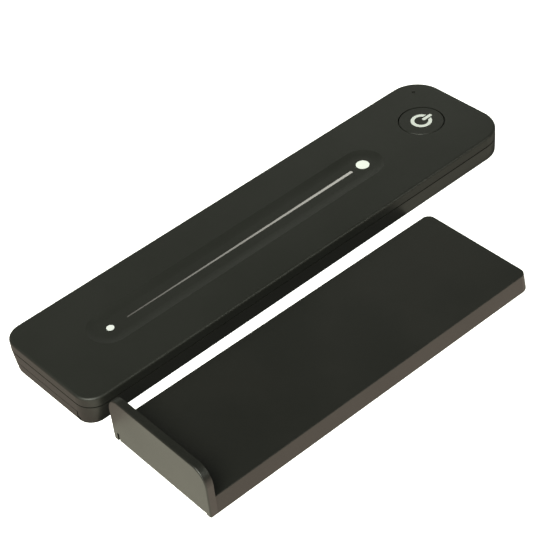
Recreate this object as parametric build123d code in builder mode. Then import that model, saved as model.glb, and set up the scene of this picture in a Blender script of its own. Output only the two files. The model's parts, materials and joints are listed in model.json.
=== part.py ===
"""A slim touch-slide dimmer remote control with a power key, lying beside its wall holder.

The frame: +X runs along the holder from its lip, +Z is up, and the origin is on the surface
that both rest on, below the middle of the pair. The remote lies a little turned.
"""

from build123d import *

import os
from math import cos, radians, sin

# Remote control: outside of the case
remote_length = 150.0
remote_width = 36.4
parting_height = 5.5
battery_end_radius = 5.3
power_end_radius = 9.0
foot_inset = 0.75
foot_outset = 0.2
battery_foot_radius = 4.3
battery_foot_far_radius = 7.0
power_foot_radius = 8.2
foot_edge_radius = 0.25
top_edge_radius = 0.7
seam_width = 0.35
seam_depth = 0.4

# Remote control: walls
case_wall = 1.2
floor_thickness = 1.2
ceiling_thickness = 1.6
tongue_thickness = 0.8
tongue_height = 0.8
fit_gap = 0.1

# Touch slider channel in the top
channel_rim_width = 12.2
channel_floor_width = 9.2
channel_from_battery_end = 21.0
channel_from_power_end = 39.8
channel_depth = 0.55
channel_rim_radius = 0.3
channel_soft_radius = 8.0
electrode_width = 7.0
electrode_thickness = 0.25
contact_foam_size = 3.0
contact_foam_inset = 6.6

# Power key
key_from_end = 14.8
key_off_centre = 1.45
key_diameter = 12.8
key_gap = 0.3
key_skin = 1.1
key_flange_width = 0.9
key_flange_thickness = 0.6
key_head_gap = 0.1
key_travel = 0.3
key_edge_radius = 0.25
key_nub_diameter = 2.4
key_nub_length = 0.4
dome_diameter = 6.0
dome_height = 0.3
dome_sheet = 0.1
key_pad_width = 1.6
key_nub_gap = 0.05
key_tab_reach = 0.6
key_tab_width = 2.0

# Status light
light_from_end = 6.2
light_off_centre = 12.8
light_diameter = 1.0
light_head_diameter = 2.4
light_head_thickness = 0.25
light_recess = 0.5
led_size = (1.6, 0.8, 0.5)

# Circuit board and what is soldered to it
board_thickness = 0.8
board_gap = 0.5
contact_room = 0.5
controller_size = (9.9, 3.9, 1.4)
controller_lead_count = 8
controller_lead_pitch = 1.27
lead_size = (0.42, 1.05, 0.2)
radio_size = (4.0, 4.0, 0.85)
crystal_size = (3.2, 2.5, 0.8)
capacitor_size = (1.6, 0.8, 0.8)
resistor_size = (1.6, 0.8, 0.45)
antenna_size = (2.0, 9.0, 1.1)
antenna_from_end = 5.0
crystal_corner_radius = 0.4
chip_standoff = 0.1
chip_edge = 0.15
controller_place = (4.0, 0.0)
radio_place = (30.0, 0.0)
crystal_place = (37.0, 0.0)
capacitor_place = (-10.0, -11.0)
capacitor_pitch = 3.0
resistor_place = (20.0, 11.0)
resistor_pitch = 2.6

# Coin cell, its bay and its contacts
cell_diameter = 20.0
cell_height = 3.2
cell_cap_diameter = 17.6
cell_cap_height = 0.4
cell_gap = 0.3
bay_wall = 1.6
bay_core_diameter = 4.4
bay_core_wall = 1.1
contact_sheet = 0.25
contact_width = 4.0
contact_bow = 5.0
contact_foot = 3.0
contact_bend_radius = 2.0
cell_edge_radius = 0.25

# Battery door
door_length = 34.0
door_width = 25.5
door_plate = 1.0
door_cell_gap = 0.2
door_lift_gap = 0.15
door_end_height = 2.5
door_end_wall = 1.1
door_end_inset = 0.3
door_lip_height = 0.4
door_gap = 0.2
door_tongue = 0.8
door_tongue_thickness = 0.5
door_grip_count = 5
door_grip_pitch = 1.6
door_grip_length = 12.0
door_grip_width = 0.7
door_grip_depth = 0.3
door_grip_from_end = 9.0
rail_height = 2.2

# Case screws
screw_from_battery_end = 39.0
screw_from_power_end = 29.0
screw_off_centre = 12.5
screw_diameter = 1.6
screw_clearance = 0.15
screw_head_diameter = 3.0
screw_head_height = 1.0
screw_recess_depth = 1.5
screw_end_cover = 0.95
screw_drive_length = 1.8
screw_drive_width = 0.4
screw_drive_depth = 0.5
boss_diameter = 4.4

# Steel plates in the remote, which the holder's magnets pull
steel_length = 22.0
steel_width = 14.0
steel_thickness = 0.5
steel_corner_radius = 1.5

# Holder: cover with the lip
holder_length = 107.7
side_draft = 7.0
holder_corner_radius = 2.8
lip_height = 14.3
lip_thickness = 2.1
lip_corner_radius = 4.5
lip_edge_radius = 0.4
cover_edge_radius = 0.25
cover_wall = 1.8
cover_skin = 1.2
lip_foot_width = 1.6
lip_foot_rise = 0.4
notch_width = 0.8
notch_height = 2.7
notch_depth = 1.2

# Holder: wall plate and magnets
wall_plate_thickness = 1.5
wall_plate_gap = 0.3
wall_hole_diameter = 4.2
wall_hole_spacing = 48.0
wall_head_diameter = 7.5
wall_head_angle = 90.0
wall_boss_diameter = 11.0
wall_boss_height = 0.6
peg_diameter = 3.0
peg_height = 2.0
peg_gap = 0.05
peg_wall = 1.0
peg_from_end = 6.9
peg_from_side = 4.4
magnet_diameter = 10.0
magnet_thickness = 1.6
magnet_ring_wall = 0.8
magnet_gap = 0.1
magnet_edge = 0.3
magnet_from_lip = 49.75
magnet_from_free_end = 15.85

# How the two lie beside each other
remote_turn = 0.75
rest_gap = 6.7
end_step = 2.5

# Heights that follow from the stack inside the remote, from its floor up
cell_bottom = door_plate + door_cell_gap
cell_top = cell_bottom + cell_height
board_bottom = cell_top + contact_room
board_top = board_bottom + board_thickness
key_flange_bottom = board_top + dome_height + key_nub_gap + key_nub_length
key_flange_top = key_flange_bottom + key_flange_thickness
key_pocket_top = key_flange_top + key_head_gap
remote_height = key_pocket_top + key_skin
ceiling = remote_height - ceiling_thickness
screw_top = remote_height - screw_end_cover

# Places along and across the remote, from its middle
rim_wall = case_wall + foot_inset
battery_end_x = -remote_length / 2
power_end_x = remote_length / 2
channel_reach = remote_length - channel_from_battery_end - channel_from_power_end
channel_x = (channel_from_battery_end - channel_from_power_end) / 2
contact_foam_spacing = channel_reach / 2 - contact_foam_inset
key_x = power_end_x - key_from_end
key_y = key_off_centre
key_flange_diameter = key_diameter + 2 * (key_gap + key_flange_width)
light_x = power_end_x - light_from_end
light_y = light_off_centre
screw_rows = (battery_end_x + screw_from_battery_end, power_end_x - screw_from_power_end)
screw_places = [(row, side * screw_off_centre) for row in screw_rows for side in (-1, 1)]
cell_x = battery_end_x + rim_wall + bay_wall + cell_gap + cell_diameter / 2
bay_length = cell_diameter + 2 * (cell_gap + bay_wall)
bay_width = door_width + 2 * (door_gap + door_tongue + bay_wall)
door_front_x = battery_end_x - foot_outset
door_back_x = battery_end_x + door_length
door_middle_x = (door_front_x + door_back_x) / 2
door_full_length = door_back_x - door_front_x
door_opening_width = door_width + 2 * door_gap

# The holder is as wide as the remote, and as high as what lies in it; its magnets are
# placed from its two ends
holder_width = remote_width
cover_ceiling = wall_plate_thickness + wall_boss_height + magnet_gap + magnet_thickness
plate_height = cover_ceiling + cover_skin
cover_space_length = holder_length - lip_thickness - cover_wall
cover_space_width = holder_width - 2 * cover_wall
cover_space_x = (lip_thickness - cover_wall) / 2
magnet_places = (
    lip_thickness + magnet_from_lip - holder_length / 2,
    holder_length / 2 - magnet_from_free_end,
)
peg_spacing_x = cover_space_length - 2 * peg_from_end
peg_spacing_y = cover_space_width - 2 * peg_from_side

# How the pair lies, with the middle of its outline at the origin
turn = radians(remote_turn)
far_reach = (
    (remote_length / 2 - power_end_radius) * sin(turn)
    + (remote_width / 2 - power_end_radius) * cos(turn)
    + power_end_radius
)
pair_width = holder_width + rest_gap + remote_width / 2 + far_reach
holder_y = (holder_width - pair_width) / 2
remote_y = holder_y + holder_width / 2 + rest_gap + remote_width / 2
holder_x = (holder_length - remote_length) / 2 + end_step


def on_remote(height, along=0.0, across=0.0):
    """The remote's own level plane: X along its case to the power end, Y across it."""
    x = along * cos(turn) - across * sin(turn)
    y = remote_y + along * sin(turn) + across * cos(turn)
    return Plane(origin=(x, y, height), x_dir=(cos(turn), sin(turn), 0), z_dir=(0, 0, 1))


def upright_on_remote(height, along=0.0, across=0.0):
    """An upright plane along the remote: X along its case, Y up."""
    level = on_remote(height, along, across)
    return Plane(origin=level.origin, x_dir=level.x_dir, z_dir=-level.y_dir)


def on_holder(height, along=0.0, across=0.0):
    """The holder's own level plane: X along it from the lip end, Y across it."""
    return Plane(origin=(holder_x + along, holder_y + across, height))


def finish(piece, name):
    """Labels a finished piece and writes it to its own file."""
    piece.part.label = name
    export_step(piece.part, f"parts/{name}.step")


def two_radius_outline(length, width, first_radius, last_radius):
    """A rectangle whose corners at the two ends of X have their own radii."""
    with BuildSketch(Plane.XY, mode=Mode.PRIVATE) as outline:
        Rectangle(length, width)
        fillet(outline.vertices().group_by(Axis.X)[0], first_radius)
        fillet(outline.vertices().group_by(Axis.X)[-1], last_radius)
    return outline.sketch


def case_outline(inset=0.0):
    """The outline of both case halves where they meet, moved in by the given distance."""
    return two_radius_outline(
        remote_length - 2 * inset,
        remote_width - 2 * inset,
        battery_end_radius - inset,
        power_end_radius - inset,
    )


def foot_outline():
    """The outline of the remote's underside: narrower than the parting line, and a little longer.

    Its far corner at the battery end is rounder than the near one.
    """
    with BuildSketch(Plane.XY, mode=Mode.PRIVATE) as outline:
        Rectangle(remote_length + 2 * foot_outset, remote_width - 2 * foot_inset)
        fillet(outline.vertices().group_by(Axis.X)[-1], power_foot_radius)
        fillet(outline.vertices().group_by(Axis.X)[0].sort_by(Axis.Y)[-1], battery_foot_far_radius)
        fillet(outline.vertices().group_by(Axis.X)[0].sort_by(Axis.Y)[0], battery_foot_radius)
    return outline.sketch


def cavity_outline(grow=0.0):
    """The outline of the space inside the case, grown by the given distance."""
    inset = rim_wall - grow
    return two_radius_outline(
        remote_length - 2 * inset,
        remote_width - 2 * inset,
        battery_end_radius - inset,
        power_end_radius - inset,
    )


def holder_cavity_outline(grow=0.0):
    """The outline of the space inside the holder's cover, grown by the given distance."""
    length = cover_space_length + 2 * grow
    width = cover_space_width + 2 * grow
    radius = holder_corner_radius - cover_wall + grow
    return two_radius_outline(length, width, radius, radius)


os.makedirs("parts", exist_ok=True)

# ---------------------------------------------------------------- remote: case

with BuildPart() as top_case:
    with BuildSketch(on_remote(parting_height)):
        add(case_outline())
    extrude(amount=remote_height - parting_height)
    fillet(top_case.faces().sort_by(Axis.Z)[-1].edges(), top_edge_radius)
    # the touch slider's channel
    with BuildSketch(on_remote(remote_height, channel_x)):
        SlotCenterToCenter(channel_reach, channel_rim_width)
    with BuildSketch(on_remote(remote_height - channel_depth, channel_x)):
        SlotCenterToCenter(channel_reach, channel_floor_width)
    loft(mode=Mode.SUBTRACT)
    rim = top_case.faces().filter_by(Axis.Z).sort_by(Axis.Z)[-1].inner_wires()
    fillet(rim[0].edges(), channel_rim_radius)
    channel_floor = top_case.faces().filter_by(Axis.Z).sort_by(Axis.Z)[-2]
    fillet(channel_floor.outer_wire().edges(), channel_soft_radius)
    # the space inside, and the tongue that centres the halves on each other
    with BuildSketch(on_remote(parting_height)):
        add(cavity_outline())
    extrude(amount=ceiling - parting_height, mode=Mode.SUBTRACT)
    with BuildSketch(on_remote(parting_height - tongue_height)):
        add(cavity_outline(tongue_thickness))
        add(cavity_outline(), mode=Mode.SUBTRACT)
    extrude(amount=tongue_height)
    # the power key's hole and the pocket behind it for the key's flange
    with BuildSketch(on_remote(remote_height, key_x, key_y)):
        Circle(key_diameter / 2 + key_gap)
    extrude(amount=-ceiling_thickness, mode=Mode.SUBTRACT)
    with BuildSketch(on_remote(ceiling, key_x, key_y)):
        Circle(key_flange_diameter / 2 + key_gap)
        with Locations((-key_flange_diameter / 2 - key_tab_reach / 2, 0)):
            Rectangle(key_tab_reach + 2 * key_gap, key_tab_width + 2 * key_gap)
    extrude(amount=key_pocket_top - ceiling, mode=Mode.SUBTRACT)
    # the status light's hole
    with BuildSketch(on_remote(remote_height, light_x, light_y)):
        Circle(light_diameter / 2)
    extrude(amount=-ceiling_thickness, mode=Mode.SUBTRACT)
    # bosses that press on the board and take the screws
    with BuildSketch(on_remote(board_top)):
        with Locations(*screw_places):
            Circle(boss_diameter / 2)
    extrude(amount=ceiling - board_top)
    with BuildSketch(on_remote(board_top)):
        with Locations(*screw_places):
            Circle(screw_diameter / 2)
    extrude(amount=screw_top - board_top, mode=Mode.SUBTRACT)
finish(top_case, "top_case")

with BuildPart() as bottom_case:
    with BuildSketch(on_remote(0)):
        add(foot_outline())
    with BuildSketch(on_remote(parting_height - seam_width)):
        add(case_outline())
    loft()
    fillet(bottom_case.faces().sort_by(Axis.Z)[0].edges(), foot_edge_radius)
    # the shadow gap all round, below the top half
    with BuildSketch(on_remote(parting_height - seam_width)):
        add(case_outline(seam_depth))
    extrude(amount=seam_width)
    with BuildSketch(on_remote(floor_thickness)):
        add(cavity_outline())
    extrude(amount=parting_height - floor_thickness, mode=Mode.SUBTRACT)
    with BuildSketch(on_remote(parting_height)):
        add(cavity_outline(tongue_thickness + fit_gap))
    extrude(amount=-(tongue_height + fit_gap), mode=Mode.SUBTRACT)
    # rails beside the battery door, then the door's opening between them
    rail_length = door_length - rim_wall + bay_wall
    with BuildSketch(on_remote(floor_thickness, battery_end_x + rim_wall + rail_length / 2)):
        Rectangle(rail_length, bay_width)
    extrude(amount=rail_height - floor_thickness)
    with BuildSketch(on_remote(0, door_middle_x + door_gap / 2)):
        Rectangle(door_full_length + door_gap, door_opening_width)
    extrude(amount=rail_height, mode=Mode.SUBTRACT)
    with BuildSketch(on_remote(0, battery_end_x)):
        Rectangle(2 * rim_wall, door_opening_width)
    extrude(amount=door_end_height + door_gap, mode=Mode.SUBTRACT)
    # the bay that holds the coin cell, above the door
    bay_bottom = door_plate + door_lift_gap
    with BuildSketch(on_remote(bay_bottom, cell_x)):
        Rectangle(bay_length, bay_width)
        Circle(cell_diameter / 2 + cell_gap, mode=Mode.SUBTRACT)
        with Locations((bay_length / 2, 0)):
            Rectangle(bay_wall * 3, contact_width + 2 * cell_gap, mode=Mode.SUBTRACT)
    extrude(amount=cell_top - cell_cap_height - bay_bottom)
    core_inset = bay_core_wall + bay_core_diameter / 2
    with BuildSketch(on_remote(rail_height, cell_x)):
        with GridLocations(bay_length - 2 * core_inset, bay_width - 2 * core_inset, 2, 2):
            Circle(bay_core_diameter / 2)
    extrude(amount=cell_top - cell_cap_height - rail_height, mode=Mode.SUBTRACT)
    # grooves that the door's tongues slide in
    groove_height = door_tongue_thickness + 2 * door_lift_gap
    groove_bottom = door_plate - door_tongue_thickness - door_lift_gap
    with BuildSketch(on_remote(groove_bottom, door_middle_x + door_gap / 2)):
        Rectangle(door_full_length + door_gap, door_opening_width + 2 * door_tongue)
    extrude(amount=groove_height, mode=Mode.SUBTRACT)
    # bosses for the board, with recesses for the screws from below
    with BuildSketch(on_remote(floor_thickness)):
        with Locations(*screw_places):
            Circle(boss_diameter / 2)
    extrude(amount=board_bottom - floor_thickness)
    with BuildSketch(on_remote(0)):
        with Locations(*screw_places):
            Circle(screw_head_diameter / 2 + screw_clearance)
    extrude(amount=screw_recess_depth, mode=Mode.SUBTRACT)
    with BuildSketch(on_remote(screw_recess_depth)):
        with Locations(*screw_places):
            Circle(screw_diameter / 2 + screw_clearance)
    extrude(amount=board_bottom - screw_recess_depth, mode=Mode.SUBTRACT)
finish(bottom_case, "bottom_case")

with BuildPart() as battery_door:
    with BuildSketch(on_remote(0)):
        add(foot_outline())
    with BuildSketch(on_remote(parting_height - seam_width)):
        add(case_outline())
    loft()
    fillet(battery_door.faces().sort_by(Axis.Z)[0].edges(), foot_edge_radius)
    # only the door's own share of the case's outside is kept: an end wall and a plate
    with BuildSketch(on_remote(0, door_middle_x)):
        Rectangle(door_full_length, door_width)
    extrude(amount=door_end_height, mode=Mode.INTERSECT)
    with BuildSketch(on_remote(door_plate, battery_end_x + door_end_wall + door_length / 2)):
        Rectangle(door_length, door_width)
    extrude(amount=door_end_height, mode=Mode.SUBTRACT)
    with BuildSketch(on_remote(door_lip_height, battery_end_x)):
        with GridLocations(0, door_width, 1, 2):
            Rectangle(2 * door_end_wall, 2 * door_end_inset)
    extrude(amount=door_end_height, mode=Mode.SUBTRACT)
    # tongues along both sides
    tongue_start = battery_end_x + 2 * door_end_wall
    with BuildSketch(on_remote(door_plate, (tongue_start + door_back_x) / 2)):
        Rectangle(door_back_x - tongue_start, door_width + 2 * door_tongue)
    extrude(amount=-door_tongue_thickness)
    # grip lines for a thumb on the underside
    with BuildSketch(on_remote(0, battery_end_x + door_grip_from_end)):
        with GridLocations(door_grip_pitch, 0, door_grip_count, 1):
            SlotOverall(door_grip_length, door_grip_width, rotation=90)
    extrude(amount=door_grip_depth, mode=Mode.SUBTRACT)
finish(battery_door, "battery_door")

with BuildPart() as case_screws:
    with BuildSketch(on_remote(screw_recess_depth)):
        with Locations(*screw_places):
            Circle(screw_head_diameter / 2)
    extrude(amount=-screw_head_height)
    with BuildSketch(on_remote(screw_recess_depth)):
        with Locations(*screw_places):
            Circle(screw_diameter / 2)
    extrude(amount=screw_top - screw_recess_depth)
    with BuildSketch(on_remote(screw_recess_depth - screw_head_height)):
        with Locations(*screw_places):
            Rectangle(screw_drive_length, screw_drive_width)
            Rectangle(screw_drive_width, screw_drive_length)
    extrude(amount=screw_drive_depth, mode=Mode.SUBTRACT)
finish(case_screws, "case_screws")

# ---------------------------------------------------------------- remote: power key

with BuildPart() as power_key:
    with BuildSketch(on_remote(key_flange_bottom, key_x, key_y)):
        Circle(key_diameter / 2)
    extrude(amount=remote_height - key_flange_bottom)
    fillet(power_key.edges().group_by(Axis.Z)[-1], key_edge_radius)
    with BuildSketch(on_remote(key_flange_bottom, key_x, key_y)):
        Circle(key_flange_diameter / 2)
        with Locations((-key_flange_diameter / 2 - key_tab_reach / 2, 0)):
            Rectangle(key_tab_reach + key_gap, key_tab_width)
    extrude(amount=key_flange_thickness)
    with BuildSketch(on_remote(key_flange_bottom, key_x, key_y)):
        Circle(key_nub_diameter / 2)
    extrude(amount=-key_nub_length)
finish(power_key, "power_key")

with BuildPart() as key_pad:
    with BuildSketch(on_remote(board_top, key_x, key_y)):
        Circle(key_flange_diameter / 2)
        Circle(key_flange_diameter / 2 - key_pad_width, mode=Mode.SUBTRACT)
    extrude(amount=key_flange_bottom - board_top)
finish(key_pad, "key_pad")

with BuildPart() as snap_dome:
    with BuildSketch(upright_on_remote(board_top, key_x, key_y)):
        with BuildLine():
            TangentArc((0, dome_height), (dome_diameter / 2, 0), tangent=(1, 0))
            Line((dome_diameter / 2, 0), (dome_diameter / 2 - 4 * dome_sheet, 0))
            TangentArc((0, dome_height - dome_sheet), (dome_diameter / 2 - 4 * dome_sheet, 0), tangent=(1, 0))
            Line((0, dome_height - dome_sheet), (0, dome_height))
        make_face()
    revolve(axis=Axis(on_remote(board_top, key_x, key_y).origin, (0, 0, 1)))
finish(snap_dome, "snap_dome")

# ---------------------------------------------------------------- remote: board and parts on it

with BuildPart() as circuit_board:
    with BuildSketch(on_remote(board_bottom)):
        add(cavity_outline(-board_gap))
        with Locations(*screw_places):
            Circle(screw_diameter / 2 + screw_clearance, mode=Mode.SUBTRACT)
    extrude(amount=board_thickness)
finish(circuit_board, "circuit_board")

with BuildPart() as touch_electrode:
    with BuildSketch(on_remote(ceiling, channel_x)):
        SlotCenterToCenter(channel_reach, electrode_width)
    extrude(amount=-electrode_thickness)
finish(touch_electrode, "touch_electrode")

with BuildPart() as electrode_contacts:
    with BuildSketch(on_remote(board_top, channel_x)):
        with GridLocations(contact_foam_spacing, 0, 3, 1):
            Rectangle(contact_foam_size, contact_foam_size)
    extrude(amount=ceiling - electrode_thickness - board_top)
finish(electrode_contacts, "electrode_contacts")

with BuildPart() as controller_chip:
    with BuildSketch(on_remote(board_bottom - chip_standoff, *controller_place)):
        Rectangle(controller_size[0], controller_size[1])
    extrude(amount=-controller_size[2])
    chamfer(controller_chip.faces().sort_by(Axis.Z)[0].edges(), chip_edge)
    with BuildSketch(on_remote(board_bottom, *controller_place)):
        with GridLocations(controller_lead_pitch, controller_size[1] + lead_size[1] / 2, controller_lead_count, 2):
            Rectangle(lead_size[0], lead_size[1])
    extrude(amount=-lead_size[2])
finish(controller_chip, "controller_chip")

with BuildPart() as radio_chip:
    with BuildSketch(on_remote(board_bottom, *radio_place)):
        Rectangle(radio_size[0], radio_size[1])
    extrude(amount=-radio_size[2])
    chamfer(radio_chip.edges().group_by(Axis.Z)[0], chip_edge)
finish(radio_chip, "radio_chip")

with BuildPart() as crystal:
    with BuildSketch(on_remote(board_bottom, *crystal_place)):
        RectangleRounded(crystal_size[0], crystal_size[1], crystal_corner_radius)
    extrude(amount=-crystal_size[2])
finish(crystal, "crystal")

with BuildPart() as chip_capacitors:
    with BuildSketch(on_remote(board_bottom, *capacitor_place)):
        with GridLocations(capacitor_pitch, capacitor_pitch, 4, 2):
            Rectangle(capacitor_size[0], capacitor_size[1])
    extrude(amount=-capacitor_size[2])
finish(chip_capacitors, "chip_capacitors")

with BuildPart() as chip_resistors:
    with BuildSketch(on_remote(board_bottom, *resistor_place)):
        with GridLocations(resistor_pitch, resistor_pitch, 4, 2):
            Rectangle(resistor_size[0], resistor_size[1])
    extrude(amount=-resistor_size[2])
finish(chip_resistors, "chip_resistors")

with BuildPart() as antenna:
    with BuildSketch(on_remote(board_bottom, power_end_x - antenna_from_end)):
        Rectangle(antenna_size[0], antenna_size[1])
    extrude(amount=-antenna_size[2])
finish(antenna, "antenna")

with BuildPart() as status_led:
    with BuildSketch(on_remote(board_top, light_x, light_y)):
        Rectangle(led_size[0], led_size[1])
    extrude(amount=led_size[2])
finish(status_led, "status_led")

with BuildPart() as light_pipe:
    with BuildSketch(on_remote(ceiling, light_x, light_y)):
        Circle(light_head_diameter / 2)
    extrude(amount=-light_head_thickness)
    with BuildSketch(on_remote(ceiling, light_x, light_y)):
        Circle(light_diameter / 2)
    extrude(amount=ceiling_thickness - light_recess)
finish(light_pipe, "light_pipe")

# ---------------------------------------------------------------- remote: power

with BuildPart() as coin_cell:
    with BuildSketch(on_remote(cell_bottom, cell_x)):
        Circle(cell_diameter / 2)
    extrude(amount=cell_height - cell_cap_height)
    fillet(coin_cell.edges(), cell_edge_radius)
    with BuildSketch(on_remote(cell_top - cell_cap_height, cell_x)):
        Circle(cell_cap_diameter / 2)
    extrude(amount=cell_cap_height)
finish(coin_cell, "coin_cell")

with BuildPart() as negative_contact:
    bow_top = board_bottom - contact_sheet / 2
    bow_bottom = cell_top + contact_sheet / 2
    with BuildSketch(upright_on_remote(0, cell_x)) as bow:
        with BuildLine():
            FilletPolyline(
                (-contact_bow - contact_foot, bow_top),
                (-contact_bow, bow_top),
                (0, bow_bottom),
                (contact_bow, bow_top),
                (contact_bow + contact_foot, bow_top),
                radius=contact_bend_radius,
            )
        trace(line_width=contact_sheet)
    extrude(amount=contact_width / 2, both=True)
finish(negative_contact, "negative_contact")

with BuildPart() as positive_contact:
    leg_x = cell_diameter / 2 + contact_sheet / 2
    with BuildSketch(upright_on_remote(0, cell_x)):
        with BuildLine():
            FilletPolyline(
                (leg_x, rail_height),
                (leg_x, bow_top),
                (leg_x + contact_foot, bow_top),
                radius=contact_sheet,
            )
        trace(line_width=contact_sheet)
    extrude(amount=contact_width / 2, both=True)
finish(positive_contact, "positive_contact")

with BuildPart() as steel_plates:
    # each lies over one of the holder's magnets when the remote stands on the lip
    docked_x = battery_end_x + holder_length / 2 - lip_thickness
    with BuildSketch(on_remote(floor_thickness)):
        with Locations(*[(docked_x + place, 0) for place in magnet_places]):
            RectangleRounded(steel_length, steel_width, steel_corner_radius)
    extrude(amount=steel_thickness)
finish(steel_plates, "steel_plates")

# ---------------------------------------------------------------- holder

with BuildPart() as holder_cover:
    # the plate's sides lean in; its lip end is buried in the lip
    base_length = holder_length - lip_thickness / 2
    with BuildSketch(on_holder(0, lip_thickness / 4)):
        add(two_radius_outline(base_length, holder_width, cover_edge_radius, holder_corner_radius))
    extrude(amount=plate_height, taper=side_draft)
    fillet(holder_cover.faces().sort_by(Axis.Z)[-1].edges(), cover_edge_radius)
    lip_plane = Plane(origin=(holder_x - holder_length / 2, holder_y, 0), x_dir=(0, 1, 0), z_dir=(1, 0, 0))
    with BuildSketch(lip_plane) as lip_outline:
        with Locations((0, lip_height / 2)):
            Rectangle(holder_width, lip_height)
        fillet(lip_outline.vertices().group_by(Axis.Y)[-1], lip_corner_radius)
    extrude(amount=lip_thickness)
    lip_face = holder_cover.faces().sort_by(Axis.X)[0]
    fillet(lip_face.edges().sort_by(Axis.Z)[1:], lip_edge_radius)
    # the space behind the plate
    with BuildSketch(on_holder(0, cover_space_x)):
        add(holder_cavity_outline())
    extrude(amount=cover_ceiling, mode=Mode.SUBTRACT)
    # the lip's lower edge stands clear between two feet, with a notch to pry the cover off
    with BuildSketch(on_holder(0, (lip_thickness - holder_length) / 2)):
        Rectangle(lip_thickness, holder_width - 2 * lip_foot_width)
    extrude(amount=lip_foot_rise, mode=Mode.SUBTRACT)
    notch_y = holder_width / 2 - lip_foot_width - notch_width / 2
    with BuildSketch(on_holder(0, -holder_length / 2, notch_y)):
        Rectangle(2 * notch_depth, notch_width)
    extrude(amount=notch_height, mode=Mode.SUBTRACT)
    # sockets for the wall plate's pegs, and rings round the magnets
    with BuildSketch(on_holder(wall_plate_thickness + fit_gap, cover_space_x)):
        with GridLocations(peg_spacing_x, peg_spacing_y, 2, 2):
            Circle(peg_diameter / 2 + peg_gap + peg_wall)
            Circle(peg_diameter / 2 + peg_gap, mode=Mode.SUBTRACT)
    extrude(amount=cover_ceiling - wall_plate_thickness - fit_gap)
    with BuildSketch(on_holder(cover_ceiling)):
        with Locations(*[(place, 0) for place in magnet_places]):
            Circle(magnet_diameter / 2 + fit_gap + magnet_ring_wall)
            Circle(magnet_diameter / 2 + fit_gap, mode=Mode.SUBTRACT)
    extrude(amount=-magnet_thickness)
finish(holder_cover, "holder_cover")

with BuildPart() as holder_magnets:
    with BuildSketch(on_holder(cover_ceiling)):
        with Locations(*[(place, 0) for place in magnet_places]):
            Circle(magnet_diameter / 2)
    extrude(amount=-magnet_thickness)
    chamfer(holder_magnets.edges().group_by(Axis.Z)[0], magnet_edge)
finish(holder_magnets, "holder_magnets")

with BuildPart() as wall_plate:
    with BuildSketch(on_holder(0, cover_space_x)):
        add(holder_cavity_outline(-wall_plate_gap))
    extrude(amount=wall_plate_thickness)
    with BuildSketch(on_holder(wall_plate_thickness)):
        with GridLocations(wall_hole_spacing, 0, 2, 1):
            Circle(wall_boss_diameter / 2)
    extrude(amount=wall_boss_height)
    with BuildSketch(on_holder(wall_plate_thickness, cover_space_x)):
        with GridLocations(peg_spacing_x, peg_spacing_y, 2, 2):
            Circle(peg_diameter / 2)
    extrude(amount=peg_height)
    with Locations(on_holder(wall_plate_thickness + wall_boss_height)):
        with GridLocations(wall_hole_spacing, 0, 2, 1):
            CounterSinkHole(wall_hole_diameter / 2, wall_head_diameter / 2, counter_sink_angle=wall_head_angle)
finish(wall_plate, "wall_plate")
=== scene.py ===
"""The looks of a touch dimmer remote control and its wall holder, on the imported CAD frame."""
import json
import math

import bmesh
import bpy
from mathutils import Matrix, Vector


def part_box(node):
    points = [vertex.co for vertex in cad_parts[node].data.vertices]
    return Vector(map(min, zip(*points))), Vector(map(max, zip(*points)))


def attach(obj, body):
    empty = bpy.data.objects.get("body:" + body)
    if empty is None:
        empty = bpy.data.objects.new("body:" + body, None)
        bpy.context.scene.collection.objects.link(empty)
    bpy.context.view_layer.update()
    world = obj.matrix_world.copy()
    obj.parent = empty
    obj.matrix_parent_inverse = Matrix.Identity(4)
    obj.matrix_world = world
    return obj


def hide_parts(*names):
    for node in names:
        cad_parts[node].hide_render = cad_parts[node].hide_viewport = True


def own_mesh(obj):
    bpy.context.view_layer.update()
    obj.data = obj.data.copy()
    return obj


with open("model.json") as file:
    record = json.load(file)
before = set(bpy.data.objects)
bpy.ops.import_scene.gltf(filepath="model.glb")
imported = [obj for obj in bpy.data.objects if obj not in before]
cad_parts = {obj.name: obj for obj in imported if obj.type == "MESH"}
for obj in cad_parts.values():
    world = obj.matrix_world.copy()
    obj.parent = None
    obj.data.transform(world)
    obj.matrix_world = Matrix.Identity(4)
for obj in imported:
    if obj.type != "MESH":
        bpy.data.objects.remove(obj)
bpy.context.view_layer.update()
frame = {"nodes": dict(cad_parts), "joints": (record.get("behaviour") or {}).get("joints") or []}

MM = 0.001
MM_IN_A_METRE = 1000.0

# camera, fitted to the outlines of the two pieces
SENSOR_WIDTH = 36.0
LENS = 110.77
CAMERA_RIGHT = (0.746171, -0.660105, -0.086544)
CAMERA_UP = (0.483857, 0.448411, 0.751539)
CAMERA_BACK = (-0.457287, -0.602651, 0.653988)
CAMERA_PLACE = (-0.20803, -0.25150, 0.28853)

# light: strengths of the sky, radiances of the lit table, watts of the soft boxes
SKY_EVEN = 0.064
SKY_BEHIND = 0.18
SKY_BELOW = 0.026
TABLE_LEFT = 0.76
TABLE_CORNER = 1.4
TABLE_FRONT = 1.44
TABLE_RIGHT = 0.44
KEY_POWER = 38.0
FRONT_POWER = 1.4
STRIP_POWER = 0.042
CORNER_POWER = 0.013
WARM = (1.0, 0.83, 0.68)
YELLOWISH = (1.0, 0.96, 0.76)
GREENISH = (0.97, 1.0, 0.87)
BEHIND = (0.60, 0.80)  # the direction of the sky's low glow, in the plane of the floor

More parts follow.
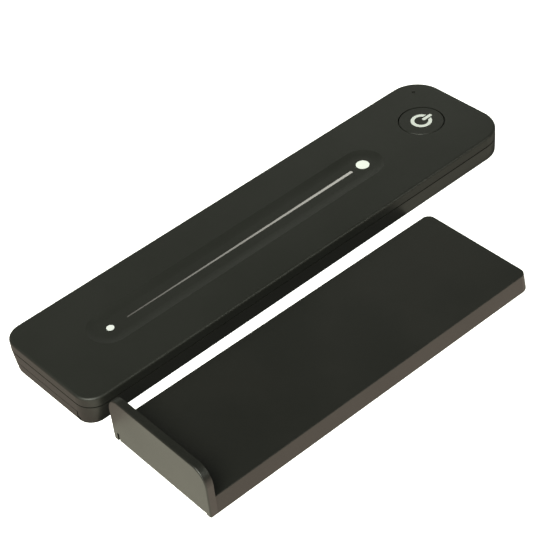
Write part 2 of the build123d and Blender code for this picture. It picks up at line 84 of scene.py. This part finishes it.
# floor and table, in metres
FLOOR_HALF = 3.0
FLOOR_Z = -0.00005
FLOOR_GLOW = 0.93
FLOOR_COLOUR = (0.92, 0.91, 0.90, 1.0)
FLOOR_GLOW_COLOUR = (1.0, 1.0, 0.995, 1.0)
TABLE_Z = -0.0005
TABLE_REACH = 0.30  # how far the lit table runs to the left, to the right and to the front
TABLE_BACK_EDGE = 0.20
CORNER_FRONT_EDGE = -0.25
TABLE_RIGHT_EDGE = 0.20
REST_GAP = 0.0078  # from the holder's back edge to the remote's front edge

# inks: colours, and sizes in millimetres
DOT_DARK = (0.70, 0.72, 0.73)
DOT_LIGHT = (0.78, 0.81, 0.80)
LINE_DARK = (0.085, 0.078, 0.080)
LINE_LIGHT = (0.44, 0.42, 0.43)
SYMBOL_WHITE = (0.60, 0.63, 0.62)
INK_THICKNESS = 0.02
INK_ROLL = 0.03
INK_SINK = 0.004
CHANNEL_DEPTH = 0.55
ELECTRODE_WIDTH = 7.0
LINE_SHORT_OF_DOTS = 4.0  # how far inside the dots' middles the ink's colours stop changing
LOW_DOT_RADIUS = 1.05
HIGH_DOT_RADIUS = 1.9
DOT_SHIFT = 0.1
LINE_FROM_LOW_DOT = 5.7
LINE_FROM_HIGH_DOT = 4.2
LINE_HALF_NARROW = 0.175
LINE_HALF_WIDE = 0.45
SYMBOL_OUTER = 3.05
SYMBOL_INNER = 2.0
SYMBOL_HALF_GAP = 0.95
BAR_LOW = 0.6
BAR_HIGH = 4.0
BAR_HALF_WIDTH = 0.5
BAR_CORNER = 0.1

# what gives way under the key, in millimetres
RETURN_RING_WIDTH = 1.6
RETURN_RING_EDGE = 0.06
DOME_SHEET = 0.1

nodes = frame["nodes"]
joints = {joint["name"]: joint for joint in frame["joints"]}
scene = bpy.context.scene
scene.view_settings.view_transform = "Standard"
scene.view_settings.look = "None"


# ------------------------------------------------------------------ camera
def add_camera():
    data = bpy.data.cameras.new("camera")
    data.sensor_fit = "HORIZONTAL"
    data.sensor_width = SENSOR_WIDTH
    data.lens = LENS
    data.clip_start = 0.01
    data.clip_end = 20.0
    obj = bpy.data.objects.new("camera", data)
    rows = list(zip(CAMERA_RIGHT, CAMERA_UP, CAMERA_BACK, CAMERA_PLACE))
    obj.matrix_world = Matrix(rows + [(0, 0, 0, 1)])
    scene.collection.objects.link(obj)
    scene.camera = obj


# ------------------------------------------------------------------ where things are, from the CAD
def middle(node):
    low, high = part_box(node)
    return (low + high) / 2


door_way = joints["battery_door_slide"]["axis"]
TURN = math.atan2(-door_way[1], -door_way[0])
CHANNEL = middle("touch_electrode")
KEY = middle("key_pad")
PIPE = middle("light_pipe")
CELL = middle("coin_cell")
HOLDER_LOW, HOLDER_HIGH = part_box("holder_cover")
CASE_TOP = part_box("top_case")[1].z
CHANNEL_FLOOR = CASE_TOP - CHANNEL_DEPTH * MM
electrode_low, electrode_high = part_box("touch_electrode")
DOT_REACH = ((electrode_high.x - electrode_low.x) / MM - ELECTRODE_WIDTH) / 2
INK_REACH = DOT_REACH - LINE_SHORT_OF_DOTS


def along(origin, x, y, z):
    """The point x, y millimetres from origin along and across the remote, at height z in metres."""
    c, s = math.cos(TURN), math.sin(TURN)
    return Vector((origin.x + (x * c - y * s) * MM, origin.y + (x * s + y * c) * MM, z))


# ------------------------------------------------------------------ material helpers
WEAR_AND_HIGHLIGHT_EDGE_WIDTH = 0.35  # how wide the lighter edges look (rubbed wear and a painted highlight), in millimetres


def scaled(colour, factor):
    return tuple(min(1.0, v * factor) for v in colour)


class Tree:
    """A material's node tree, with short ways to add and join nodes."""

    def __init__(self, name):
        self.mat = bpy.data.materials.new(name)
        self.mat.use_nodes = True
        self.nodes = self.mat.node_tree.nodes
        self.links = self.mat.node_tree.links
        self.shader = self.nodes["Principled BSDF"]
        self.coords = self.nodes.new("ShaderNodeTexCoord").outputs["Object"]

    def put(self, socket, value):
        if isinstance(value, bpy.types.NodeSocket):
            self.links.new(value, socket)
        else:
            socket.default_value = value

    def set(self, **values):
        for key, value in values.items():
            self.put(self.shader.inputs[key.replace("_", " ")], value)

    def space(self, origin=None, turn=0.0, stretch=(1, 1, 1)):
        """Coordinates in millimetres about origin, turned and stretched."""
        node = self.nodes.new("ShaderNodeMapping")
        origin = origin or Vector((0, 0, 0))
        size = Vector(stretch) * MM_IN_A_METRE
        moved = Matrix.Rotation(-turn, 3, "Z") @ Vector([origin[i] * size[i] for i in range(3)])
        self.put(node.inputs["Vector"], self.coords)
        node.inputs["Location"].default_value = -moved
        node.inputs["Rotation"].default_value = (0, 0, -turn)
        node.inputs["Scale"].default_value = size
        return node.outputs["Vector"]

    def split(self, vector):
        node = self.nodes.new("ShaderNodeSeparateXYZ")
        self.put(node.inputs[0], vector)
        return node.outputs

    def math(self, kind, a, b=0.0):
        node = self.nodes.new("ShaderNodeMath")
        node.operation = kind
        self.put(node.inputs[0], a)
        self.put(node.inputs[1], b)
        return node.outputs[0]

    def times(self, a, b):
        return self.math("MULTIPLY", a, b)

    def reach(self, x, y):
        """The distance from the middle."""
        return self.math("SQRT", self.math("ADD", self.times(x, x), self.times(y, y)))

    def noise(self, vector, scale, detail=4.0, rough=0.55):
        node = self.nodes.new("ShaderNodeTexNoise")
        self.put(node.inputs["Vector"], vector)
        node.inputs["Scale"].default_value = scale
        node.inputs["Detail"].default_value = detail
        node.inputs["Roughness"].default_value = rough
        return node.outputs[0]

    def cells(self, vector, scale, feature="F1", distance="EUCLIDEAN", output="Distance"):
        node = self.nodes.new("ShaderNodeTexVoronoi")
        node.feature = feature
        if feature != "DISTANCE_TO_EDGE":
            node.distance = distance
        self.put(node.inputs["Vector"], vector)
        node.inputs["Scale"].default_value = scale
        return node.outputs[output]

    def span(self, value, low, high, to_low=0.0, to_high=1.0, smooth=True):
        node = self.nodes.new("ShaderNodeMapRange")
        node.interpolation_type = "SMOOTHSTEP" if smooth else "LINEAR"
        node.clamp = True
        for socket, v in zip(node.inputs, (value, low, high, to_low, to_high)):
            self.put(socket, v)
        return node.outputs[0]

    def mix(self, fac, a, b):
        node = self.nodes.new("ShaderNodeMix")
        node.data_type = "RGBA"
        self.put(node.inputs["Factor"], fac)
        for key, value in (("A", a), ("B", b)):
            socket = [s for s in node.inputs if s.name == key and s.type == "RGBA"][0]
            self.put(socket, value if isinstance(value, bpy.types.NodeSocket) else (*value, 1.0))
        return [s for s in node.outputs if s.type == "RGBA"][0]

    def bump(self, height, strength=0.3, distance=0.02):
        node = self.nodes.new("ShaderNodeBump")
        node.inputs["Strength"].default_value = strength
        node.inputs["Distance"].default_value = distance * MM
        self.put(node.inputs["Height"], height)
        return node.outputs[0]

    def edges(self):
        """1 along sharp outer and inner edges, 0 on flats."""
        bevel = self.nodes.new("ShaderNodeBevel")
        bevel.samples = 6
        bevel.inputs["Radius"].default_value = WEAR_AND_HIGHLIGHT_EDGE_WIDTH * MM
        geometry = self.nodes.new("ShaderNodeNewGeometry")
        dot = self.nodes.new("ShaderNodeVectorMath")
        dot.operation = "DOT_PRODUCT"
        self.put(dot.inputs[0], bevel.outputs[0])
        self.put(dot.inputs[1], geometry.outputs["Normal"])
        return self.span(dot.outputs["Value"], 0.995, 0.90)


def plastic(name, dark, light, rough, grain, depth, specks=0.0, edge=0.0):
    """Moulded plastic: eroded-tool grain, faint flow clouds, dust specks, and lighter edges that are partly
    rubbed wear and partly a painted highlight.
    """
    t = Tree(name)
    mm = t.space()
    fine = t.noise(mm, 1.0 / grain, 3.0, 0.6)
    pits = t.cells(mm, 0.7 / grain)
    clouds = t.noise(mm, 0.05, 3.0, 0.5)
    handled = t.noise(mm, 0.016, 2.0, 0.6)
    colour = t.mix(t.span(clouds, 0.35, 0.65), dark, light)
    colour = t.mix(t.span(fine, 0.35, 0.68, 0.0, 0.22), colour, scaled(light, 1.5))
    if specks:
        spot = t.cells(mm, 0.16)
        chance = t.split(t.cells(mm, 0.16, output="Color"))[0]
        dust = t.times(t.span(spot, 0.030, 0.012), t.span(chance, 0.90, 0.93))
        colour = t.mix(t.times(dust, specks), colour, (0.28, 0.27, 0.24))
    # lighter along all sharp edges: partly rubbed wear, partly a painted highlight
    if edge:
        wear_and_highlight_patches = t.span(t.noise(mm, 0.5), 0.35, 0.65, 0.3 * edge, edge)
        colour = t.mix(t.times(t.edges(), wear_and_highlight_patches), colour, scaled(light, 2.2))
    glints = t.span(fine, 0.3, 0.7, -0.05, 0.05)
    sheen = t.span(handled, 0.35, 0.65, rough - 0.03, rough + 0.04)
    relief = t.math("ADD", fine, t.times(pits, 0.5))
    t.set(Base_Color=colour, Roughness=t.math("ADD", glints, sheen), Normal=t.bump(relief, depth))
    return t


def metal(name, dark, light, rough, stretch, scale):
    """Sheet or turned metal: drawn lines, clouds in the plating and small scratches."""
    t = Tree(name)
    lines = t.noise(t.space(turn=TURN, stretch=stretch), scale, 4.0, 0.65)
    clouds = t.noise(t.space(), 0.35, 3.0, 0.5)
    scratch = t.cells(t.space(turn=TURN + 0.5, stretch=(0.15, 2.0, 1.0)), 1.2, "DISTANCE_TO_EDGE")
    marks = t.span(scratch, 0.02, 0.0)
    colour = t.mix(t.span(lines, 0.35, 0.65), dark, light)
    colour = t.mix(t.span(clouds, 0.4, 0.7, 0.0, 0.35), colour, scaled(dark, 0.75))
    drawn = t.span(lines, 0.3, 0.7, rough - 0.07, rough + 0.07)
    t.set(Base_Color=colour, Metallic=1.0, Roughness=t.math("ADD", drawn, t.times(marks, 0.12)))
    t.set(Normal=t.bump(t.math("SUBTRACT", lines, t.times(marks, 0.4)), 0.25, 0.01))
    return t


def wear(node, tree):
    """Gives a CAD node this material."""
    mesh = nodes[node].data
    mesh.materials.clear()
    mesh.materials.append(tree.mat)


# ------------------------------------------------------------------ materials of the outside
TOP_BLACK = (0.0090, 0.0096, 0.0078), (0.0106, 0.0112, 0.0094)
KEY_BLACK = (0.0088, 0.0094, 0.0077), (0.0103, 0.0108, 0.0091)
CASE_BLACK = (0.0085, 0.0085, 0.0072), (0.0102, 0.0102, 0.0086)
HOLDER_BLACK = (0.0075, 0.0078, 0.0066), (0.0098, 0.0098, 0.0084)
PLATE_BLACK = (0.020, 0.020, 0.018), (0.026, 0.026, 0.024)


def outside_materials():
    # node, material, dark and light colour, roughness, size and depth of the grain, dust, lighter edges
    # (rubbed wear and painted highlight)
    for node, name, colours, *finish in (
        ("top_case", "soft_black_top", TOP_BLACK, 0.48, 0.10, 0.28, 0.6, 0.35),
        ("bottom_case", "black_bottom", CASE_BLACK, 0.44, 0.13, 0.35, 0.2, 0.30),
        ("power_key", "soft_black_key", KEY_BLACK, 0.48, 0.10, 0.25, 0.0, 0.30),
        ("battery_door", "black_door", CASE_BLACK, 0.44, 0.13, 0.35, 0.0, 0.30),
        ("holder_cover", "grained_black_holder", HOLDER_BLACK, 0.44, 0.16, 0.55, 0.5, 0.35),
        ("wall_plate", "black_wall_plate", PLATE_BLACK, 0.55, 0.2, 0.5),
    ):
        wear(node, plastic(name, *colours, *finish))


# ------------------------------------------------------------------ materials of what is inside
SPRING_STEEL = (0.60, 0.58, 0.52), (0.72, 0.70, 0.63)


def inside_metals():
    # node, material, dark and light colour, roughness, stretch of the drawn lines and their scale
    for node, *looks in (
        ("snap_dome", "dome_steel", (0.55, 0.55, 0.54), (0.66, 0.66, 0.65), 0.24, (1, 8, 1), 2.0),
        ("steel_plates", "zinc_sheet", (0.50, 0.50, 0.50), (0.62, 0.62, 0.61), 0.38, (1, 10, 1), 1.4),
        ("holder_magnets", "nickel_magnet", (0.52, 0.51, 0.48), (0.66, 0.65, 0.62), 0.20, (1, 1, 1), 0.9),
        ("case_screws", "black_zinc", (0.06, 0.06, 0.06), (0.11, 0.11, 0.105), 0.36, (1, 1, 6), 2.5),
        ("positive_contact", "spring_strip_plus", *SPRING_STEEL, 0.26, (1, 9, 1), 2.0),
        ("negative_contact", "spring_strip_minus", *SPRING_STEEL, 0.26, (9, 1, 1), 2.0),
        ("touch_electrode", "copper_foil", (0.58, 0.29, 0.18), (0.74, 0.42, 0.28), 0.34, (0.4, 6, 1), 1.2),
        ("crystal", "crystal_lid", (0.55, 0.55, 0.55), (0.68, 0.68, 0.67), 0.28, (1, 6, 1), 3.0),
    ):
        wear(node, metal(*looks))


def soft_materials():
    t = Tree("silicone_pad")
    mm = t.space()
    cloud = t.span(t.noise(mm, 0.8, 3.0), 0.3, 0.7)
    t.set(Base_Color=t.mix(cloud, (0.30, 0.30, 0.29), (0.40, 0.40, 0.39)))
    t.set(Roughness=t.span(t.noise(mm, 9.0), 0.3, 0.7, 0.42, 0.58), Subsurface_Weight=0.15)
    t.set(Subsurface_Radius=(MM, MM, MM), Normal=t.bump(t.noise(mm, 12.0, 3.0)))
    wear("key_pad", t)

    t = Tree("conductive_foam")
    holes = t.cells(t.space(), 5.0)
    colour = t.mix(t.span(holes, 0.1, 0.5), (0.012, 0.012, 0.012), (0.07, 0.07, 0.07))
    t.set(Base_Color=colour, Roughness=0.9, Normal=t.bump(holes, 0.8, 0.12))
    wear("electrode_contacts", t)


def board_material():
    """Solder mask with routed tracks, vias and screw pads."""
    t = Tree("circuit_board")
    mm = t.space(CHANNEL, TURN)
    x, y, _ = t.split(mm)
    weave = t.times(t.math("SINE", t.times(x, 9.0)), t.math("SINE", t.times(y, 9.0)))
    track = t.span(t.cells(mm, 0.28, "DISTANCE_TO_EDGE"), 0.055, 0.035)
    pad = t.span(t.cells(mm, 0.55, "F1", "CHEBYCHEV"), 0.24, 0.20)
    chance = t.split(t.cells(mm, 0.55, "F1", "CHEBYCHEV", "Color"))[1]
    via = t.times(pad, t.span(chance, 0.72, 0.74))
    mask = t.mix(t.span(weave, -1.0, 1.0, 0.0, 0.25), (0.010, 0.055, 0.022), (0.020, 0.085, 0.036))
    mask = t.mix(t.times(track, 0.8), mask, (0.035, 0.15, 0.06))
    mask = t.mix(via, mask, (0.62, 0.60, 0.54))
    t.set(Base_Color=mask, Metallic=t.times(via, 0.9))
    t.set(Roughness=t.span(t.noise(mm, 2.0), 0.3, 0.7, 0.28, 0.40), Coat_Weight=0.25, Coat_Roughness=0.2)
    t.set(Normal=t.bump(t.math("ADD", track, t.times(weave, 0.15)), 0.35, 0.03))
    wear("circuit_board", t)


def part_materials():
    """The parts on the board."""
    # moulded chips: matt epoxy body, tinned leads outside it, a pin-one dimple
    for node, body_half, dimple in (
        ("controller_chip", 1.96, (-4.0, -1.2)),
        ("radio_chip", 9.0, (-1.4, -1.4)),
    ):
        t = Tree(f"{node}_epoxy")
        mm = t.space(middle(node), TURN)
        x, y, _ = t.split(mm)
        grain = t.noise(mm, 9.0)
        lead = t.span(t.math("ABSOLUTE", y), body_half, body_half + 0.03)
        far = t.reach(t.math("SUBTRACT", x, dimple[0]), t.math("SUBTRACT", y, dimple[1]))
        dot = t.span(far, 0.34, 0.28)
        body = t.mix(t.span(grain, 0.3, 0.7), (0.018, 0.018, 0.020), (0.034, 0.034, 0.037))
        body = t.mix(t.times(dot, 0.6), body, (0.10, 0.10, 0.10))
        t.set(Base_Color=t.mix(lead, body, (0.66, 0.66, 0.63)), Metallic=lead)
        t.set(Roughness=t.span(grain, 0.3, 0.7, 0.42, 0.60))
        t.set(Normal=t.bump(t.math("SUBTRACT", grain, dot), 0.35, 0.03))
        wear(node, t)

    # two-ended ceramic parts: the ends of each are tinned
    for node, pitch, length, dark, light in (
        ("chip_capacitors", 3.0, 1.6, (0.30, 0.19, 0.10), (0.42, 0.29, 0.17)),
        ("chip_resistors", 2.6, 1.6, (0.02, 0.02, 0.022), (0.045, 0.045, 0.05)),
    ):
        t = Tree(f"{node}_ceramic")
        mm = t.space(middle(node), TURN)
        place = t.math("FLOORED_MODULO", t.split(mm)[0], pitch)
        off_middle = t.math("ABSOLUTE", t.math("SUBTRACT", place, pitch / 2))
        end = t.span(off_middle, length / 2 - 0.30, length / 2 - 0.26)
        grain = t.noise(mm, 7.0)
        body = t.mix(t.span(grain, 0.3, 0.7), dark, light)
        t.set(Base_Color=t.mix(end, body, (0.70, 0.70, 0.67)), Metallic=end)
        t.set(Roughness=t.span(grain, 0.3, 0.7, 0.3, 0.5), Normal=t.bump(grain, 0.25))
        wear(node, t)

    t = Tree("antenna_ceramic")
    mm = t.space(middle("antenna"), TURN)
    place = t.math("FLOORED_MODULO", t.split(mm)[1], 1.0)
    stripe = t.span(t.math("ABSOLUTE", t.math("SUBTRACT", place, 0.5)), 0.30, 0.27)
    grain = t.noise(mm, 5.0, 3.0)
    body = t.mix(grain, (0.62, 0.62, 0.60), (0.78, 0.78, 0.75))
    t.set(Base_Color=t.mix(stripe, body, (0.72, 0.70, 0.64)), Metallic=stripe)
    t.set(Roughness=t.span(grain, 0.3, 0.7, 0.25, 0.4), Normal=t.bump(stripe, 0.3, 0.03))
    wear("antenna", t)

    t = Tree("led_package")
    mm = t.space(PIPE, TURN)
    x, y, _ = t.split(mm)
    lens = t.span(t.reach(x, y), 0.34, 0.28)
    end = t.span(t.math("ABSOLUTE", x), 0.58, 0.62)
    body = t.mix(lens, (0.72, 0.72, 0.68), (0.85, 0.62, 0.12))
    t.set(Base_Color=t.mix(end, body, (0.70, 0.69, 0.64)), Metallic=end)
    t.set(Roughness=t.span(t.noise(mm, 6.0), 0.3, 0.7, 0.22, 0.4), Coat_Weight=0.3)
    wear("status_led", t)

    t = Tree("smoked_light_pipe")
    haze = t.noise(t.space(PIPE, TURN), 4.0, 3.0)
    t.set(Base_Color=t.mix(haze, (0.010, 0.010, 0.009), (0.022, 0.021, 0.018)), Transmission_Weight=0.25)
    t.set(Roughness=t.span(haze, 0.3, 0.7, 0.28, 0.4), Normal=t.bump(haze, 0.2, 0.01))
    wear("light_pipe", t)


def cell_material():
    """Turned steel, the dark gasket ring round the cap and a raised plus on the can."""
    t = metal("coin_cell_steel", (0.56, 0.56, 0.54), (0.70, 0.70, 0.68), 0.26, (1, 1, 1), 1.6)
    x, y, z = t.split(t.space(CELL, TURN))
    top = (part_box("coin_cell")[1].z - CELL.z) / MM
    far = t.reach(x, y)
    gasket = t.times(t.span(far, 8.82, 8.86), t.span(far, 9.45, 9.40))
    gasket = t.times(gasket, t.span(z, top - 0.45, top - 0.38))
    steel = t.shader.inputs["Base Color"].links[0].from_socket
    t.set(Base_Color=t.mix(gasket, steel, (0.03, 0.03, 0.03)), Metallic=t.math("SUBTRACT", 1.0, gasket))
    rings = t.math("SINE", t.times(far, 40.0))
    ax, ay = t.math("ABSOLUTE", x), t.math("ABSOLUTE", y)
    bar_a = t.times(t.span(ax, 3.0, 2.9), t.span(ay, 0.50, 0.42))
    bar_b = t.times(t.span(ay, 3.0, 2.9), t.span(ax, 0.50, 0.42))
    plus = t.times(t.math("MAXIMUM", bar_a, bar_b), t.span(z, 0.0, -1.0))
    t.set(Normal=t.bump(t.math("ADD", t.times(rings, 0.15), plus), 0.6, 0.05))
    wear("coin_cell", t)


# ------------------------------------------------------------------ pieces of the visual model
def add_piece(name, bm, material, body):
    """A named mesh that rides on body and wears the given material."""
    mesh = bpy.data.meshes.new(name)
    bmesh.ops.recalc_face_normals(bm, faces=bm.faces)
    bm.to_mesh(mesh)
    bm.free()
    mesh.materials.append(material)
    obj = bpy.data.objects.new(name, mesh)
    scene.collection.objects.link(obj)
    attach(obj, body)
    return obj


# ------------------------------------------------------------------ what gives way under the key
def turned(name, node, profile, steps=96):
    """A body turned about the key's axis that stands for node, on the board under the key.

    profile is a closed loop of (radius, height over the board) in metres.
    """
    board_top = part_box(node)[0].z
    bm = bmesh.new()
    loops = []
    for step in range(steps):
        angle = 2 * math.pi * step / steps
        c, s = math.cos(angle), math.sin(angle)
        loops.append([bm.verts.new((KEY.x + r * c, KEY.y + r * s, board_top + z)) for r, z in profile])
    for step in range(steps):
        here, there = loops[step - 1], loops[step]
        for i in range(len(profile)):
            bm.faces.new((here[i - 1], there[i - 1], there[i], here[i]))
    bmesh.ops.remove_doubles(bm, verts=bm.verts, dist=0.001 * MM)
    bmesh.ops.dissolve_degenerate(bm, edges=bm.edges, dist=0.001 * MM)
    obj = add_piece(name, bm, nodes[node].data.materials[0], "remote")
    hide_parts(node)
    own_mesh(obj)


def radius_and_height(node):
    low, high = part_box(node)
    return (high.x - low.x) / 2, high.z - low.z


def under_the_key():
    """The silicone ring that returns the key and the steel dome that it clicks on."""
    outer, height = radius_and_height("key_pad")
    inner = outer - RETURN_RING_WIDTH * MM
    edge = RETURN_RING_EDGE * MM
    ring = [(inner + edge, 0.0), (outer - edge, 0.0), (outer, edge), (outer, height - edge)]
    ring += [(outer - edge, height), (inner + edge, height), (inner, height - edge), (inner, edge)]
    turned("key_return_ring", "key_pad", ring)

    outer, height = radius_and_height("snap_dome")
    sheet = DOME_SHEET * MM
    inner = outer - 4 * sheet
    shares = [k / 12 for k in range(13)]
    dome = [(outer * share, height * (1 - share**2)) for share in shares]
    dome += [(inner * share, (height - sheet) * (1 - share**2)) for share in reversed(shares)]
    turned("click_dome", "snap_dome", dome)


# ------------------------------------------------------------------ printed marks
def ink_material(name, dark, light):
    """Pad-print ink, slightly uneven; the colours run from the low to the high end of the slider."""
    t = Tree(name)
    mm = t.space(CHANNEL, TURN)
    body = t.noise(mm, 3.5, 4.0, 0.6)
    place = t.span(t.split(mm)[0], -INK_REACH, INK_REACH, smooth=False)
    t.set(Base_Color=t.mix(t.times(place, t.span(body, 0.25, 0.75, 0.86, 1.0)), dark, light))
    t.set(Roughness=t.span(body, 0.3, 0.7, 0.42, 0.56), Normal=t.bump(body, 0.3, 0.006))
    return t.mat


def inset_outline(points, amount):
    """The outline moved inwards, for an outline that runs anticlockwise."""
    moved = []
    for i, (x, y) in enumerate(points):
        ax, ay = points[i - 1]
        bx, by = points[(i + 1) % len(points)]
        dx, dy = bx - ax, by - ay
        size = math.hypot(dx, dy)
        moved.append((x - dy / size * amount, y + dx / size * amount))
    return moved


def printed(name, outline, origin, base_z, body, material, paired=False):
    """A film of ink with rolled-off edges, a hair proud of the surface that it is printed on.

    outline runs anticlockwise; paired joins its first half, point by point, to its second half.
    """
    bm = bmesh.new()

    def ring(points, height):
        return [bm.verts.new(along(origin, x, y, base_z + height * MM)) for x, y in points]

    skirt = ring(outline, -INK_SINK)
    rim = ring(outline, 0.6 * INK_THICKNESS)
    crown = ring(inset_outline(outline, INK_ROLL), INK_THICKNESS)
    count = len(outline)
    for i in range(count):
        j = (i + 1) % count
        bm.faces.new((skirt[i], skirt[j], rim[j], rim[i]))
        bm.faces.new((rim[i], rim[j], crown[j], crown[i]))
    caps = []
    for loop in (crown, skirt):
        if paired:
            for i in range(count // 2 - 1):
                caps.append(bm.faces.new((loop[i], loop[i + 1], loop[-2 - i], loop[-1 - i])))
        else:
            caps.append(bm.faces.new(loop))
    bmesh.ops.triangulate(bm, faces=caps)
    add_piece(name, bm, material, body)


def arc(x, y, radius, start, end, steps):
    angles = [start + (end - start) * i / steps for i in range(steps + 1)]
    return [(x + radius * math.cos(angle), y + radius * math.sin(angle)) for angle in angles]


def slider_marks():
    """Two dots at the ends of the channel and a line between them that widens towards the large one."""
    white = ink_material("white_print", DOT_DARK, DOT_LIGHT)
    grey = ink_material("line_print", LINE_DARK, LINE_LIGHT)
    on_floor = (CHANNEL, CHANNEL_FLOOR, "remote")
    low_dot = arc(DOT_SHIFT - DOT_REACH, 0, LOW_DOT_RADIUS, 0, 2 * math.pi, 64)[:-1]
    high_dot = arc(DOT_SHIFT + DOT_REACH, 0, HIGH_DOT_RADIUS, 0, 2 * math.pi, 96)[:-1]
    printed("slider_low_dot", low_dot, *on_floor, white)
    printed("slider_high_dot", high_dot, *on_floor, white)
    start, end = LINE_FROM_LOW_DOT - DOT_REACH, DOT_REACH - LINE_FROM_HIGH_DOT
    narrow, wide = LINE_HALF_NARROW, LINE_HALF_WIDE
    shares = [k / 24 for k in range(1, 25)]
    edge = [(start + (end - start) * share, narrow + (wide - narrow) * share) for share in shares]
    blunt = [(end + 0.14, 0.8 * wide), (end + 0.2, 0.4 * wide)]
    line = arc(start, 0, narrow, math.pi / 2, 3 * math.pi / 2, 12)
    line += [(x, -y) for x, y in edge + blunt]
    line += reversed(edge + blunt)
    printed("slider_line", line, *on_floor, grey)


def power_symbol():
    """An open ring with a bar in its gap, the gap towards the power end of the case."""
    white = ink_material("symbol_print", SYMBOL_WHITE, SYMBOL_WHITE)
    on_key = (KEY, CASE_TOP, "power_key")
    outer_start = math.asin(SYMBOL_HALF_GAP / SYMBOL_OUTER)
    inner_start = math.asin(SYMBOL_HALF_GAP / SYMBOL_INNER)
    ring = arc(0, 0, SYMBOL_OUTER, outer_start, 2 * math.pi - outer_start, 72)
    ring += arc(0, 0, SYMBOL_INNER, 2 * math.pi - inner_start, inner_start, 72)
    printed("power_symbol_ring", ring, *on_key, white, paired=True)
    low, high, side, cut = BAR_LOW, BAR_HIGH, BAR_HALF_WIDTH, BAR_CORNER
    bar = [(low + cut, -side), (high - cut, -side), (high, cut - side), (high, side - cut)]
    bar += [(high - cut, side), (low + cut, side), (low, side - cut), (low, cut - side)]
    printed("power_symbol_bar", bar, *on_key, white)


# ------------------------------------------------------------------ floor and light
def soft_box(name, place, aim, width, height, power, colour):
    """A rectangular light at place that faces aim, unseen by the camera."""
    data = bpy.data.lights.new(name, "AREA")
    data.shape = "RECTANGLE"
    data.size, data.size_y = width, height
    data.energy = power
    data.color = colour
    light = bpy.data.objects.new(name, data)
    light.location = place
    light.rotation_euler = (Vector(aim) - Vector(place)).to_track_quat("-Z", "Y").to_euler()
    light.visible_camera = False
    scene.collection.objects.link(light)


def table_light(name, low, high, radiance, colour):
    """A lit stretch of the white table, from corner to corner, that shines up at the sides."""
    x, y = (low[0] + high[0]) / 2, (low[1] + high[1]) / 2
    width, height = high[0] - low[0], high[1] - low[1]
    soft_box(name, (x, y, TABLE_Z), (x, y, 1.0), width, height, radiance * math.pi * width * height, colour)


def sky():
    """Dim overhead, brighter low behind the pair, with a weak glow from below."""
    world = bpy.data.worlds.new("studio")
    scene.world = world
    world.use_nodes = True
    tree = world.node_tree
    background = tree.nodes["Background"]

    def put(socket, value):
        if isinstance(value, bpy.types.NodeSocket):
            tree.links.new(value, socket)
        else:
            socket.default_value = value

    def ramp(value, low, high, to_low, to_high):
        node = tree.nodes.new("ShaderNodeMapRange")
        node.interpolation_type = "SMOOTHSTEP"
        for socket, v in zip(node.inputs, (value, low, high, to_low, to_high)):
            put(socket, v)
        return node.outputs[0]

    def join(kind, first, second):
        node = tree.nodes.new("ShaderNodeMath")
        node.operation = kind
        put(node.inputs[0], first)
        put(node.inputs[1], second)
        return node.outputs[0]

    split = tree.nodes.new("ShaderNodeSeparateXYZ")
    put(split.inputs[0], tree.nodes.new("ShaderNodeTexCoord").outputs["Generated"])
    x, y, z = split.outputs
    facing = join("ADD", join("MULTIPLY", x, BEHIND[0]), join("MULTIPLY", y, BEHIND[1]))
    glow = join("MULTIPLY", ramp(facing, 0.0, 0.9, 0.0, 1.0), ramp(z, 0.0, 0.75, 1.0, 0.0))
    glow = join("MULTIPLY", glow, ramp(z, -0.05, 0.0, 0.0, 1.0))
    below = ramp(z, -0.02, 0.02, 1.0, 0.0)
    total = join("ADD", SKY_EVEN, join("MULTIPLY", glow, SKY_BEHIND))
    put(background.inputs["Strength"], join("ADD", total, join("MULTIPLY", below, SKY_BELOW)))
    background.inputs["Color"].default_value = (*GREENISH, 1.0)


def add_floor():
    """A plain pale floor that only the camera sees."""
    mesh = bpy.data.meshes.new("floor")
    size = FLOOR_HALF
    corners = [(-size, -size, 0), (size, -size, 0), (size, size, 0), (-size, size, 0)]
    mesh.from_pydata(corners, [], [(0, 1, 2, 3)])
    floor = bpy.data.objects.new("floor", mesh)
    floor.location.z = FLOOR_Z
    scene.collection.objects.link(floor)
    t = Tree("pale_floor")
    t.set(Base_Color=FLOOR_COLOUR, Roughness=0.9, Specular_IOR_Level=0.0)
    t.set(Emission_Color=FLOOR_GLOW_COLOUR, Emission_Strength=FLOOR_GLOW)
    mesh.materials.append(t.mat)
    floor.visible_diffuse = False
    floor.visible_glossy = False
    floor.visible_shadow = False


def add_lights():
    lip_end, free_end = HOLDER_LOW.x, HOLDER_HIGH.x
    far_left = lip_end - TABLE_REACH
    remote_edge = HOLDER_HIGH.y + REST_GAP
    right_end = (TABLE_RIGHT_EDGE, remote_edge)
    table_light("table_left", (far_left, 0.0), (lip_end, TABLE_BACK_EDGE), TABLE_LEFT, WARM)
    table_light("table_corner", (far_left, CORNER_FRONT_EDGE), (lip_end, 0.0), TABLE_CORNER, YELLOWISH)
    table_light("table_front", (lip_end, -TABLE_REACH), (TABLE_REACH, HOLDER_LOW.y), TABLE_FRONT, WARM)
    table_light("table_right", (free_end, HOLDER_LOW.y), right_end, TABLE_RIGHT, YELLOWISH)
    # name, place, aim, width, height, watts
    for box in (
        ("key_light", (-0.9, -0.5, 1.1), (0.0, 0.0, 0.0), 0.9, 0.9, KEY_POWER),
        ("front_light", (0.45, -0.62, 0.60), (0.0, 0.0, 0.0), 0.35, 0.30, FRONT_POWER),
        ("strip_light", (0.06, 0.20, 0.09), (0.0, 0.03, 0.0), 0.36, 0.06, STRIP_POWER),
        ("corner_light", (0.24, 0.17, 0.12), (0.05, 0.03, 0.0), 0.12, 0.10, CORNER_POWER),
    ):
        soft_box(*box, GREENISH)


add_camera()
outside_materials()
inside_metals()
soft_materials()
board_material()
part_materials()
cell_material()
under_the_key()
slider_marks()
power_symbol()
add_floor()
sky()
add_lights()
